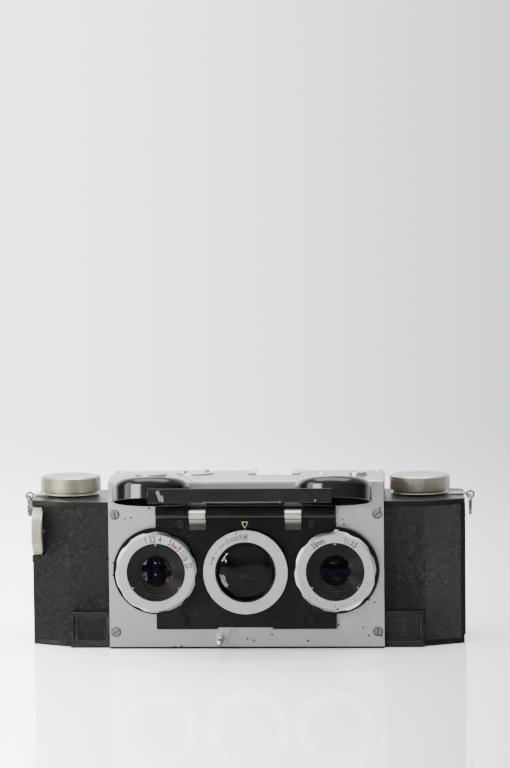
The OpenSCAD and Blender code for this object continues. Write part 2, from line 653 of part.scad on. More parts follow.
module lens_cover() color([0.06, 0.06, 0.06])
    translate([0, hinge_y, hinge_z]) rotate([-cover_lean, 0, 0]) level_cover();

module hinge_rod() color([0.3, 0.3, 0.3]) along_x(0.8, -35, 35, hinge_y, hinge_z);

// A clip of bright strip: its loop goes round the hinge rod, and its foot lies on the lens board.
module hinge_clip() translate([-clip_w / 2, 0, 0]) difference() {
    union() {
        along_x(clip_r, 0, clip_w, hinge_y, hinge_z);
        block(0, clip_w, hinge_y, board_y, hinge_z + 0.5, hinge_z + clip_r);
        block(0, clip_w, board_y - 1, board_y, 47.2, hinge_z + clip_r);
    }
    along_x(0.82, -1, clip_w + 1, hinge_y, hinge_z);
}
module hinge_clips() color([0.75, 0.75, 0.75]) for (s = [-1, 1]) translate([s * clip_x, 0, 0]) hinge_clip();

// ---------- levers, lugs and fasteners ----------

module cocking_lever() color([0.75, 0.75, 0.75]) translate([0, 0, lens_z]) {
    rotate([0, lever_lean, 0]) difference() {
        union() {
            along_y(13.9, board_back + 0.05, panel_y - 0.05);
            block(-2.1, 2.1, board_back + 0.05, panel_y - 0.05, -29, -12);
            along_y(2.1, board_back + 0.05, panel_y - 0.05, 0, -29);
        }
        along_y(finder_r + 0.06, -30, 0);
    }
    rotate([0, lever_lean, 0]) {
        along_y(0.9, -27.5, board_back + 0.1, 0, -29.5);
        translate([0, -28, -29.5]) sphere(r = 1.5);
    }
}

// The key that locks the back: a disc with a finger bar in the base, and an arm inside.
module latch_key() color([0.75, 0.75, 0.75]) translate([key_x, key_y, 0]) {
    translate([0, 0, 0.9]) cylinder(r = 6, h = 0.6);
    block(-5.4, 5.4, -0.6, 0.6, 0.1, 1);
    translate([0, 0, 1.4]) cylinder(r = 1.5, h = 2.4);
    block(-1.8, 1.8, -1.5, 11.4, 2.8, 3.8);
}

module strap_lugs() color([0.75, 0.75, 0.75]) for (m = [0, 1]) mirror([m, 0, 0]) difference() {
    union() {
        block(79.6, half_w + 0.7, lug_y - 3.5, lug_y + 3.5, deck_z, deck_z + 0.6);
        block(half_w - 1.5, lug_x - 0.9, lug_y - 0.6, lug_y + 0.6, deck_z, deck_z + 0.6);
        along_y(1.75, lug_y - 0.6, lug_y + 0.6, lug_x, lug_z);
    }
    along_y(0.95, lug_y - 2, lug_y + 2, lug_x, lug_z);
    block(0, half_w, lug_y - 2, lug_y + 2, 0, deck_z - 0.01);
}

module strap_ring() translate([lug_x, lug_y, lug_z - strap_ring_r]) rotate([0, 90, 0])
    rotate_extrude() translate([strap_ring_r, 0]) circle(r = 0.42, $fn = 24);
module left_strap_ring() color([0.75, 0.75, 0.75]) mirror([1, 0, 0]) strap_ring();
module right_strap_ring() color([0.75, 0.75, 0.75]) strap_ring();

module panel_screws() color([0.6, 0.6, 0.6]) {
    screw_y(-51.4, panel_y, 53.1, 1.75, 0.5, 9, 100);
    screw_y(51.4, panel_y, 53.1, 1.75, 0.5, 9, 38);
    screw_y(-51.4, panel_y, 6.7, 1.75, 0.5, 9, 35);
    screw_y(51.4, panel_y, 6.7, 1.75, 0.5, 9, 80);
}

function board_screw_places() = [[-25.8, 49.1], [25.8, 49.1], [-25, 11.3], [25, 11.3]];
module board_screws() color([0.05, 0.05, 0.05]) for (i = [0:3])
    let (at = board_screw_places()[i]) screw_y(at[0], board_y, at[1], 2, 0.5, 4, [45, 120, 90, 150][i]);

function hood_screw_places() = [[-51, 8.5], [51, 8.5], [29, -0.5]];
module hood_screws() color([0.6, 0.6, 0.6]) {
    for (p = hood_screw_places()) translate([p[0], p[1], 0]) {
        translate([0, 0, 62.5]) cylinder(r = 0.8, h = hood_z - 62.4);
        translate([0, 0, hood_z]) difference() {
            cylinder(r1 = 1.5, r2 = 1.2, h = 0.4);
            block(-2, 2, -0.2, 0.2, 0.2, 1);
        }
    }
    for (y = [0, 7]) translate([shoe_x, y, 62]) {
        cylinder(r = 0.8, h = 2.9);
        translate([0, 0, 2.9]) cylinder(r = 1.4, h = 0.4);
    }
}

body_casting();
base_plate();
tripod_bush();
front_panel();
top_hood();
lens_board();
left_front_leather();
right_front_leather();
window_frames();
window_glasses();
shutter_cases();
front_cells();
rear_cells();
lens_elements();
iris_blades();
finder_tube();
finder_lenses();
finder_mirrors();
eyepiece_tubes();
eyepiece_lenses();
left_range_mirror();
beam_splitter();
accessory_shoe();
hinge_clips();
hinge_rod();
strap_lugs();
focus_pointer();
release_collar();
gate_guide_pins();
panel_screws();
board_screws();
hood_screws();
lens_cover();
aperture_ring();
twin_aperture_ring();
iris_idler_gear();
speed_ring();
cocking_lever();
shutter_button();
shutter_button_spring();
film_release_button();
counter_dial();
winding_knob();
take_up_spool();
film_sprocket();
rewind_bush();
rewind_knob();
focus_wheel();
focus_cam_shaft();
film_gate();
range_mirror();
left_inner_blade();
left_outer_blade();
right_inner_blade();
right_outer_blade();
latch_key();
left_strap_ring();
right_strap_ring();
back_cover();
pressure_plate();
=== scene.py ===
# %% [markdown]
# # A twin-lens stereo camera, finished for rendering
# The camera comes from a CAD frame: sixty metal, glass and leather parts, already in place.
# This lesson dresses that frame. Machined parts get a copy with softened edges, because a
# real edge always catches a thin line of light. Markings, skins and wire rings are new pieces.
# Each finish is a procedural material, built from noise that is fixed to the object.

import json
from math import cos, pi, radians, sin

import bmesh
import bpy
from mathutils import Matrix, Vector


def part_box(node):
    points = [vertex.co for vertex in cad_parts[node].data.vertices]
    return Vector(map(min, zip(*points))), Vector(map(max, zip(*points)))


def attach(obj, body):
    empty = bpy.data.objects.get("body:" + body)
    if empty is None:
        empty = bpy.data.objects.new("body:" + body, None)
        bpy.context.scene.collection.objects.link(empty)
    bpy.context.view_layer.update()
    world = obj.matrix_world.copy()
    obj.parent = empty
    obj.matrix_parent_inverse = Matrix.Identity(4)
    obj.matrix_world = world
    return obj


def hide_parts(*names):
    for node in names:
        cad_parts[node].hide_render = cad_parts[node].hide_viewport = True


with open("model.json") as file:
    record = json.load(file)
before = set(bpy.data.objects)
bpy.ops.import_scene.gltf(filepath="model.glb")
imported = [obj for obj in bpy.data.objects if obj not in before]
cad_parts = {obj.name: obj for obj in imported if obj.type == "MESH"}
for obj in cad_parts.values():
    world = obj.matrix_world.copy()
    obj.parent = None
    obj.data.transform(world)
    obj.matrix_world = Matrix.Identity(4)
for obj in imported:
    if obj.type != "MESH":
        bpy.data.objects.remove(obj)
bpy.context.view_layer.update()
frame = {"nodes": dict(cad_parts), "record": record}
mm = 0.001
bodies = frame["record"]["behaviour"]["bodies"]
body_of_node = {node: body for body, nodes in bodies.items() for node in nodes}
slot_of_node = {part["node"]: part["material_slot"] for part in frame["record"]["subparts"]}

# %% [markdown]
# ## Where the dials are
# Markings need the middle and the front face of each ring. The frame knows both, so they are
# read from it once and used everywhere below.

# %% Places read from the frame
def middle_and_front(node):
    """The middle of a part, moved to its front face."""
    low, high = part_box(node)
    return Vector(((low[0] + high[0]) / 2, low[1], (low[2] + high[2]) / 2))


stop_ring = middle_and_front("aperture_ring")
twin_ring = middle_and_front("twin_aperture_ring")
lens_height = stop_ring.z
speed_dial = Vector((0, stop_ring.y, lens_height))
hood_low, hood_high = (Vector(corner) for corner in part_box("top_hood"))
print("lens axes at", stop_ring.x, twin_ring.x, "height", lens_height)

# %% [markdown]
# ## Camera, light and table
# The view is a long lens from nearly two paces away, a little above the object, so that the
# front stays square and the tops of the knobs just show. A bright tent of soft light suits
# metal: large lamps give broad, calm highlights, and the pale surroundings fill the rest.

# %% Camera
def look_from(place, yaw, pitch, roll, lens):
    """Puts the camera at a place, turned by yaw, tipped down by pitch and rolled."""
    forward = Vector((sin(yaw) * cos(pitch), cos(yaw) * cos(pitch), -sin(pitch)))
    right = Vector((cos(yaw), -sin(yaw), 0))
    up = right.cross(forward)
    rolled_right = right * cos(roll) + up * sin(roll)
    rolled_up = up * cos(roll) - right * sin(roll)
    turn = Matrix((rolled_right, rolled_up, -forward)).transposed().to_4x4()
    view = bpy.data.objects.new("view", bpy.data.cameras.new("view"))
    view.data.lens = lens
    view.data.sensor_width = 36
    view.data.clip_end = 20
    view.matrix_world = Matrix.Translation(place) @ turn
    bpy.context.scene.collection.objects.link(view)
    bpy.context.scene.camera = view


EYE = Vector((0.0785, -1.42926, 0.23312))
YAW = radians(-3.022)
PITCH = radians(5.227)
ROLL = radians(-0.612)
FOCAL_LENGTH = 170.3      # on a sensor 36 mm wide
look_from(EYE, YAW, PITCH, ROLL, FOCAL_LENGTH)
print("camera", round(EYE.length, 2), "m from the origin")

# %% [markdown]
# ## Lamps
# Two lamps at the left give the metal its sheen and one overhead fills the tops. Two small
# ones stand near the camera, because only small lamps leave crisp spots in glass.

# %% Light
def soft_lamp(name, place, target, width, height, power, tint=(1, 1, 1)):
    """A large rectangular lamp at a place, aimed at a target."""
    lamp = bpy.data.lights.new(name, "AREA")
    lamp.shape = "RECTANGLE"
    lamp.size = width
    lamp.size_y = height
    lamp.energy = power
    lamp.color = tint
    holder = bpy.data.objects.new(name, lamp)
    aim = (Vector(target) - Vector(place)).to_track_quat("-Z", "Y")
    holder.matrix_world = Matrix.Translation(place) @ aim.to_matrix().to_4x4()
    bpy.context.scene.collection.objects.link(holder)


soft_lamp("left_lamp", (-0.44, -0.46, 0.2), (0, 0, 0.04), 0.3, 0.2, 3.8, (1, 0.985, 0.93))
soft_lamp("side_lamp", (-0.9, -0.3, 0.4), (-0.05, 0, 0.04), 0.3, 0.5, 2.0, (1, 0.985, 0.94))
soft_lamp("top_lamp", (0, -0.1, 1.0), (0, -0.02, 0.03), 1.3, 0.8, 15.0)
soft_lamp("near_lamp", (-0.2, -1.3, 0.30), (0, 0, 0.03), 0.10, 0.035, 1.0, (1, 0.99, 0.88))
soft_lamp("far_lamp", (0.02, -1.3, 0.31), (0, 0, 0.03), 0.035, 0.035, 0.4)

# %% [markdown]
# ## The room
# A studio is bright overhead and darker at eye level, and that is why black things stay black
# in it. The room's light therefore rises with height. Behind the object stands a plain pale
# backdrop, a little brighter on the left. It also shows in the table's shine.

# %% Room
BACKDROP_LEFT = 3.6       # brightness of the backdrop at the left and right edges of the view
BACKDROP_RIGHT = 1.4
VIEW_LEFT = -0.12         # sideways slope of the view's left and right edges
VIEW_RIGHT = 0.018
BACKDROP_TINT = (0.97, 0.985, 1, 1)


def backdrop_level(tree, slope):
    """Brightness of the backdrop, from the sideways slope of a ray."""
    span = add_node(tree, "ShaderNodeMapRange", Value=slope, From_Min=VIEW_LEFT, From_Max=VIEW_RIGHT,
                    To_Min=BACKDROP_LEFT, To_Max=BACKDROP_RIGHT)
    return span.outputs["Result"]


def room(low, high):
    """World light that rises from low at the horizon to high overhead, behind a plain backdrop."""
    world = bpy.data.worlds.new("pale_studio")
    world.use_nodes = True
    tree = world.node_tree
    light = tree.nodes["Background"]
    sky = add_node(tree, "ShaderNodeTexCoord").outputs["Generated"]
    way = add_node(tree, "ShaderNodeSeparateXYZ", i0=sky)
    level = add_node(tree, "ShaderNodeMapRange", Value=way.outputs["Z"], From_Min=0.05, From_Max=0.7,
                     To_Min=low, To_Max=high)
    tree.links.new(level.outputs["Result"], light.inputs["Strength"])
    light.inputs["Color"].default_value = (0.94, 0.96, 1, 1)
    slope = add_node(tree, "ShaderNodeMath", {"operation": "DIVIDE"}, i0=way.outputs["X"],
                     i1=way.outputs["Y"])
    plain = add_node(tree, "ShaderNodeBackground", Color=BACKDROP_TINT,
                     Strength=backdrop_level(tree, slope.outputs[0]))
    behind = ramp(tree, way.outputs["Y"], 0.3, 0.8)
    both = add_node(tree, "ShaderNodeMixShader", i0=behind, i1=light.outputs[0], i2=plain.outputs[0])
    tree.links.new(both.outputs[0], tree.nodes["World Output"].inputs["Surface"])
    bpy.context.scene.world = world


# %% [markdown]
# ## Helpers for node materials
# Every finish below is a Principled shader with a few textures in front of it. Two helpers
# keep that short: one adds a node and sets its sockets, the other starts a material whose
# patterns are fixed to the object's own coordinates.

# %% Node helpers
def add_node(tree, kind, settings=None, **sockets):
    """Adds a node. settings are its properties; sockets are values or other nodes' outputs."""
    made = tree.nodes.new(kind)
    for key, value in (settings or {}).items():
        setattr(made, key, value)
    for key, value in sockets.items():
        name = key.replace("_", " ")
        socket = made.inputs[int(key[1:])] if key[0] == "i" and key[1:].isdigit() else made.inputs[name]
        if isinstance(value, bpy.types.NodeSocket):
            tree.links.new(value, socket)
        else:
            socket.default_value = value
    return made


def start_material(name, colour, metal=0.0, rough=0.4, gloss=0.5):
    """A material with its Principled shader and object coordinates."""
    made = bpy.data.materials.new(name)
    made.use_nodes = True
    shader = made.node_tree.nodes["Principled BSDF"]
    shader.inputs["Base Color"].default_value = (*colour, 1)
    shader.inputs["Metallic"].default_value = metal
    shader.inputs["Roughness"].default_value = rough
    shader.inputs["Specular IOR Level"].default_value = gloss
    where = add_node(made.node_tree, "ShaderNodeTexCoord").outputs["Object"]
    made.diffuse_color = (*colour, 1)
    return made, made.node_tree, shader, where


def ramp(tree, value, low, high):
    """A smooth mask that goes from 0 at low to 1 at high."""
    return add_node(tree, "ShaderNodeMapRange", {"interpolation_type": "SMOOTHSTEP"},
                    Value=value, From_Min=low, From_Max=high).outputs["Result"]


def mix_colour(tree, mask, first, second):
    """Colour that goes from first to second as the mask rises."""
    return add_node(tree, "ShaderNodeMix", {"data_type": "RGBA"}, i0=mask, i6=first, i7=second).outputs[2]


def multiply(tree, first, second):
    """The product of two values."""
    return add_node(tree, "ShaderNodeMath", {"operation": "MULTIPLY"}, i0=first, i1=second).outputs[0]


room(0.04, 0.8)

# %% [markdown]
# ## Shared effects
# Three effects turn up on many parts, so each is a node group. **Handling** is the slow, cloudy
# change of shine that fingers leave. **Pits** are the sparse dark specks in old plated or
# anodised metal. **Pebble grain** is the embossed pattern of leather cloth.

# %% Shared node groups
def start_group(name, inputs, outputs):
    """A shader node group with float inputs and outputs; returns its tree and both ends."""
    tree = bpy.data.node_groups.new(name, "ShaderNodeTree")
    tree.interface.new_socket("Vector", in_out="INPUT", socket_type="NodeSocketVector")
    for label, value in inputs.items():
        socket = tree.interface.new_socket(label, in_out="INPUT", socket_type="NodeSocketFloat")
        socket.default_value = value
    for label in outputs:
        tree.interface.new_socket(label, in_out="OUTPUT", socket_type="NodeSocketFloat")
    return tree, tree.nodes.new("NodeGroupInput"), tree.nodes.new("NodeGroupOutput")


def handling_group():
    """Cloudy mask from 0 to 1, and the roughness that follows it."""
    tree, ends, out = start_group("Handling", {"Scale": 60.0, "Rough": 0.35, "Spread": 0.12},
                                  ["Mask", "Roughness"])
    cloud = add_node(tree, "ShaderNodeTexNoise", Vector=ends.outputs["Vector"], Scale=ends.outputs["Scale"],
                     Detail=6.0, Roughness=0.62)
    mask = ramp(tree, cloud.outputs["Fac"], 0.3, 0.7)
    swing = multiply(tree, mask, ends.outputs["Spread"])
    total = add_node(tree, "ShaderNodeMath", {"operation": "ADD"}, i0=swing, i1=ends.outputs["Rough"])
    tree.links.new(mask, out.inputs["Mask"])
    tree.links.new(total.outputs[0], out.inputs["Roughness"])
    return tree


def pits_group():
    """Sparse dark specks: a speck sits in the few cells whose random value is high."""
    tree, ends, out = start_group("Pits", {"Scale": 420.0, "Size": 0.16, "Share": 0.12}, ["Mask"])
    cells = add_node(tree, "ShaderNodeTexVoronoi", Vector=ends.outputs["Vector"], Scale=ends.outputs["Scale"])
    near = add_node(tree, "ShaderNodeMath", {"operation": "LESS_THAN"}, i0=cells.outputs["Distance"],
                    i1=ends.outputs["Size"]).outputs[0]
    pick = add_node(tree, "ShaderNodeSeparateColor", i0=cells.outputs["Color"]).outputs[0]
    chosen = add_node(tree, "ShaderNodeMath", {"operation": "LESS_THAN"}, i0=pick,
                      i1=ends.outputs["Share"]).outputs[0]
    tree.links.new(multiply(tree, near, chosen), out.inputs["Mask"])
    return tree


def pebble_group():
    """Height of an embossed grain: rounded cells of uneven size with creases between them."""
    tree, ends, out = start_group("Pebble grain", {"Scale": 1500.0}, ["Height"])
    warp = add_node(tree, "ShaderNodeTexNoise", {"noise_dimensions": "3D"}, Vector=ends.outputs["Vector"],
                    Scale=700.0, Detail=2.0)
    shift = add_node(tree, "ShaderNodeVectorMath", {"operation": "SCALE"}, i0=warp.outputs["Color"],
                     Scale=0.0011)
    moved = add_node(tree, "ShaderNodeVectorMath", {"operation": "ADD"}, i0=ends.outputs["Vector"],
                     i1=shift.outputs[0])
    cells = add_node(tree, "ShaderNodeTexVoronoi", {"feature": "DISTANCE_TO_EDGE"}, Vector=moved.outputs[0],
                     Scale=ends.outputs["Scale"])
    tree.links.new(ramp(tree, cells.outputs["Distance"], 0.0, 0.32), out.inputs["Height"])
    return tree


HANDLING = handling_group()
PITS = pits_group()
PEBBLE = pebble_group()


def use_group(tree, group, where, **values):
    """Places a shared effect in a material with its own values."""
    made = tree.nodes.new("ShaderNodeGroup")
    made.node_tree = group
    tree.links.new(where, made.inputs["Vector"])
    for key, value in values.items():
        made.inputs[key].default_value = value
    return made.outputs


def add_bump(tree, shader, height, distance, strength=1.0):
    """Feeds a height into the shader's normal."""
    bump = add_node(tree, "ShaderNodeBump", Height=height, Distance=distance, Strength=strength)
    tree.links.new(bump.outputs["Normal"], shader.inputs["Normal"])


# %% [markdown]
# ## Bare and plated metals
# The front panel is satin aluminium: a fine vapour-blasted surface, so it is rough enough to
# blur the lamps into a soft sheen, with pits and grime. The knobs are nickel that has
# yellowed, the clips are nickel, and the levers are brighter chrome with fine scratches.

# %% Metal finishes
PIT_COLOUR = (0.10, 0.09, 0.08, 1)
GRIME = 0.175             # share of light that the dirtiest patches of satin metal lose


def satin_metal(name, colour, rough, pit_share=0.16):
    """Vapour-blasted aluminium, a little clouded, with a share of dark pits."""
    made, tree, shader, where = start_material(name, colour, 1.0, rough)
    touched = use_group(tree, HANDLING, where, Scale=45.0, Rough=rough, Spread=0.10)
    pits = use_group(tree, PITS, where, Scale=420.0, Size=0.2, Share=pit_share)["Mask"]
    darker = tuple(channel * (1 - GRIME) for channel in colour)
    clouded = mix_colour(tree, touched["Mask"], (*colour, 1), (*darker, 1))
    tree.links.new(mix_colour(tree, pits, clouded, PIT_COLOUR), shader.inputs["Base Color"])
    tree.links.new(touched["Roughness"], shader.inputs["Roughness"])
    blast = add_node(tree, "ShaderNodeTexNoise", Vector=where, Scale=5200.0, Detail=2.0).outputs["Fac"]
    add_bump(tree, shader, blast, 0.00002, 0.35)
    return made


def plated_metal(name, colour, rough, scratch=0.25, tarnish=(0.45, 0.40, 0.30)):
    """Plated or bare metal with fine scratches along it and tarnish in the clouded parts."""
    made, tree, shader, where = start_material(name, colour, 1.0, rough)
    touched = use_group(tree, HANDLING, where, Scale=160.0, Rough=rough, Spread=0.16)
    tree.links.new(mix_colour(tree, multiply(tree, touched["Mask"], scratch), (*colour, 1), (*tarnish, 1)),
                   shader.inputs["Base Color"])
    tree.links.new(touched["Roughness"], shader.inputs["Roughness"])
    stretch = add_node(tree, "ShaderNodeMapping", Vector=where, Scale=(4000, 500, 4000)).outputs[0]
    lines = add_node(tree, "ShaderNodeTexNoise", Vector=stretch, Scale=1.0, Detail=3.0).outputs["Fac"]
    add_bump(tree, shader, lines, 0.00001, scratch)
    return made


SATIN = satin_metal("satin aluminium", (0.54, 0.54, 0.525), 0.38)
HOOD = satin_metal("satin hood aluminium", (0.50, 0.51, 0.52), 0.32, 0.06)
RING = satin_metal("turned ring aluminium", (0.70, 0.70, 0.69), 0.34, 0.04)
NICKEL = plated_metal("yellowed nickel", (0.60, 0.57, 0.49), 0.34, 0.6)
CHROME = plated_metal("worn chrome", (0.72, 0.72, 0.70), 0.16)
BRASS = plated_metal("aged brass", (0.60, 0.46, 0.22), 0.3, 0.4, (0.25, 0.18, 0.08))
STEEL = plated_metal("blackened steel", (0.022, 0.021, 0.02), 0.4, 0.3, (0.06, 0.05, 0.04))
WIRE = plated_metal("spring wire", (0.42, 0.42, 0.42), 0.28)
SCREW = plated_metal("weathered screw steel", (0.33, 0.32, 0.30), 0.34, 0.6, (0.16, 0.14, 0.12))
LUG = plated_metal("worn lug steel", (0.36, 0.35, 0.33), 0.26, 0.5, (0.20, 0.18, 0.15))
CLIP_BRIGHT = (0.62, 0.61, 0.57, 1)
CLIP_SHADE = (0.06, 0.055, 0.05, 1)


def clip_metal():
    """Nickel strip, bright at the top and darkened towards the board by painted shade."""
    made, tree, shader, where = start_material("clip nickel with painted shade", CLIP_BRIGHT[:3], 1.0, 0.36)
    height = add_node(tree, "ShaderNodeSeparateXYZ", i0=where).outputs["Z"]
    # Painted shade: the clip's colour darkens below the hinge, towards the board.
    unshaded = ramp(tree, height, 49.3 * mm, 52.0 * mm)
    tree.links.new(mix_colour(tree, unshaded, CLIP_SHADE, CLIP_BRIGHT), shader.inputs["Base Color"])
    touched = use_group(tree, HANDLING, where, Scale=160.0, Rough=0.34, Spread=0.16)
    tree.links.new(touched["Roughness"], shader.inputs["Roughness"])
    return made


CLIP = clip_metal()

# %% [markdown]
# ## Black finishes and leather
# Three blacks sit side by side and must not look alike. The lens board and cover are glossy
# enamel, worn brown where fingers go. The casting is a duller lacquer. The lens tubes are
# satin black. The leather cloth is rougher, with a grain whose tops have been polished.

# %% Black finishes
ENAMEL_COLOUR = (0.005, 0.0048, 0.0047)
WORN_COLOUR = (0.028, 0.022, 0.018)


def enamel(name, rough, wear=0.4, peel=0.3, gloss=0.3, smears=0.14):
    """Black paint that wears brown in patches, with a faint orange peel."""
    made, tree, shader, where = start_material(name, ENAMEL_COLOUR, 0.0, rough, gloss)
    touched = use_group(tree, HANDLING, where, Scale=110.0, Rough=rough, Spread=smears)
    patches = add_node(tree, "ShaderNodeTexNoise", Vector=where, Scale=75.0, Detail=8.0,
                       Roughness=0.7).outputs["Fac"]
    worn = multiply(tree, ramp(tree, patches, 0.55, 0.72), wear)
    tree.links.new(mix_colour(tree, worn, (*ENAMEL_COLOUR, 1), (*WORN_COLOUR, 1)),
                   shader.inputs["Base Color"])
    tree.links.new(touched["Roughness"], shader.inputs["Roughness"])
    skin = add_node(tree, "ShaderNodeTexNoise", Vector=where, Scale=900.0, Detail=2.0).outputs["Fac"]
    add_bump(tree, shader, skin, 0.00003, peel)
    return made


GLOSS_BLACK = enamel("gloss black enamel", 0.13, 0.3, 0.06, 0.6, 0.06)
BOARD_BLACK = enamel("board black enamel", 0.12, 0.35, 0.05, 0.2, 0.06)
CASTING_BLACK = enamel("black lacquer on the casting", 0.32, 0.5, 0.4, 0.25)
TUBE_BLACK = enamel("satin black tube", 0.14, 0.15, 0.05, 0.3, 0.04)


def leather():
    """Embossed leather cloth with painted shade in the creases of its grain, polished by handling."""
    made, tree, shader, where = start_material("black leather cloth", (0.016, 0.015, 0.0145), 0.0, 0.4, 0.4)
    grain = use_group(tree, PEBBLE, where, Scale=1350.0)["Height"]
    touched = use_group(tree, HANDLING, where, Scale=38.0, Rough=0.2, Spread=0.16)
    # Painted shade: the creases of the grain are coloured darker than its tops.
    tree.links.new(mix_colour(tree, grain, (0.003, 0.003, 0.003, 1), (0.011, 0.0105, 0.01, 1)),
                   shader.inputs["Base Color"])
    tree.links.new(touched["Roughness"], shader.inputs["Roughness"])
    add_bump(tree, shader, grain, 0.0006, 1.0)
    return made


LEATHER = leather()

# %% [markdown]
# ## Glass, mirrors, paint
# Old coated lenses look dark with a violet or amber bloom, so the lens glass carries a thin
# film. The finder's glass is plain. Markings are paint rubbed into engraving.

# %% Glass and paint
def glass(name, colour, film=0.0, ior=1.52):
    """Glass with a slight haze. film is the thickness of its coating in nanometres."""
    made, tree, shader, where = start_material(name, colour, 0.0, 0.02)
    shader.inputs["Transmission Weight"].default_value = 1.0
    shader.inputs["IOR"].default_value = ior
    shader.inputs["Thin Film Thickness"].default_value = film
    haze = use_group(tree, HANDLING, where, Scale=90.0, Rough=0.03, Spread=0.03)
    tree.links.new(haze["Roughness"], shader.inputs["Roughness"])
    return made


def paint(name, colour, rough=0.5):
    """Paint that has faded in spots."""
    made, tree, shader, where = start_material(name, colour, 0.0, rough)
    touched = use_group(tree, HANDLING, where, Scale=900.0, Rough=rough, Spread=0.2)
    faded = tuple(min(1, channel * 1.5 + 0.02) for channel in colour)
    tree.links.new(mix_colour(tree, touched["Mask"], (*colour, 1), (*faded, 1)), shader.inputs["Base Color"])
    return made


LENS_GLASS = glass("coated lens glass", (0.22, 0.19, 0.21), 106.0)
CLEAR_GLASS = glass("clear glass", (0.93, 0.95, 0.96))
FINDER_GLASS = glass("old finder glass", (0.30, 0.29, 0.30), ior=1.36)
WINDOW_GLASS = glass("dark window glass", (0.22, 0.22, 0.23))
MIRROR = plated_metal("front-silvered mirror", (0.85, 0.87, 0.9), 0.04, 0.05)
INK = paint("black engraving paint", (0.018, 0.018, 0.018))
RED_INK = paint("red engraving paint", (0.55, 0.03, 0.02))
PALE_INK = paint("pale gold paint", (0.62, 0.53, 0.34))
WORN_INK = paint("worn scale paint", (0.16, 0.15, 0.11))
PLASTIC = enamel("black moulded plastic", 0.3, 0.0, 0.15)

# %% [markdown]
# ## Every CAD part gets its finish
# The record names a material slot for each part. Most parts take their slot's finish; a few
# that share a slot but look different are named one by one.

# %% Finishes by slot
FINISH_OF_SLOT = {
    "black_enamel": CASTING_BLACK, "gloss_black": GLOSS_BLACK, "matt_black": TUBE_BLACK,
    "satin_aluminium": SATIN, "bright_steel": CHROME, "aged_nickel": NICKEL, "blackened_steel": STEEL,
    "spring_steel": WIRE, "brass": BRASS, "leatherette": LEATHER, "black_plastic": PLASTIC,
    "clear_glass": CLEAR_GLASS, "coated_glass": LENS_GLASS, "mirror": MIRROR,
}
FINISH_OF_NODE = {
    "top_hood": HOOD, "aperture_ring": RING, "twin_aperture_ring": RING, "speed_ring": RING,
    "counter_dial": RING, "board_screws": STEEL, "panel_screws": SCREW, "strap_lugs": LUG,
    "hinge_clips": CLIP, "finder_lenses": FINDER_GLASS, "window_glasses": WINDOW_GLASS,
    "shutter_button": NICKEL, "hinge_rod": GLOSS_BLACK, "lens_board": BOARD_BLACK,
}
for name, part in frame["nodes"].items():
    finish = FINISH_OF_NODE.get(name, FINISH_OF_SLOT[slot_of_node[name]])
    for slot in part.material_slots:
        slot.material = finish

# %% [markdown]
# ## Helpers for new pieces
# A piece rides on a body of the camera, so that it moves when that body moves. It also takes
# its finish. Meshes are built in place, with their objects at the origin.

# %% Piece helpers
BEVEL_ANGLE = 30          # degrees: an edge sharper than this is rounded


def make_piece(name, mesh, finish, body, smooth=True):
    """Links a mesh as an object at the origin that rides on a body."""
    made = bpy.data.objects.new(name, mesh)
    bpy.context.scene.collection.objects.link(made)
    mesh.materials.clear()
    mesh.materials.append(finish)
    for face in mesh.polygons:
        face.use_smooth = smooth
    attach(made, body)
    return made


def mesh_from(bm, name):
    """Turns a bmesh into a mesh with its faces pointing outwards."""
    bmesh.ops.recalc_face_normals(bm, faces=bm.faces)
    mesh = bpy.data.meshes.new(name)
    bm.to_mesh(mesh)
    bm.free()
    return mesh


def round_edges(piece, width, segments=2):
    """Adds a small bevel to every sharp edge, and shades the faces by their area."""
    edge = piece.modifiers.new("Round edges", "BEVEL")
    edge.width = width
    edge.segments = segments
    edge.limit_method = "ANGLE"
    edge.angle_limit = radians(BEVEL_ANGLE)
    edge.harden_normals = True
    even = piece.modifiers.new("Even shading", "WEIGHTED_NORMAL")
    even.mode = "FACE_AREA"
    even.keep_sharp = True


# %% [markdown]
# ## Softened copies of the machined parts
# A CAD edge is perfectly sharp, and a perfectly sharp edge catches no light. So each part
# with a broad edge in view is copied, its loose triangles are merged into clean faces, and a
# bevel of a tenth to half a millimetre rounds the corners. The copy then stands for the CAD part.

# %% Softened copies
MERGE = 0.002 * mm        # corners nearer than this are one corner
FLAT_ANGLE = 0.8          # degrees: triangles that meet flatter than this are one face
CREASE_ANGLE = 35         # degrees: an edge sharper than this is shaded as a crease


def softened(node, width):
    """Copies a CAD part, cleans its faces and rounds its edges; the copy stands for the part."""
    source = frame["nodes"][node]
    bm = bmesh.new()
    bm.from_mesh(source.data)
    bmesh.ops.remove_doubles(bm, verts=bm.verts, dist=MERGE)
    bmesh.ops.dissolve_limit(bm, angle_limit=radians(FLAT_ANGLE), verts=bm.verts, edges=bm.edges)
    for edge in bm.edges:
        edge.smooth = edge.is_manifold and edge.calc_face_angle() < radians(CREASE_ANGLE)
    mesh = bpy.data.meshes.new(node + "_finished")
    bm.to_mesh(mesh)
    bm.free()
    made = make_piece(node + "_finished", mesh, source.material_slots[0].material,
                      body_of_node[node])
    round_edges(made, width)
    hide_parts(node)
    return made


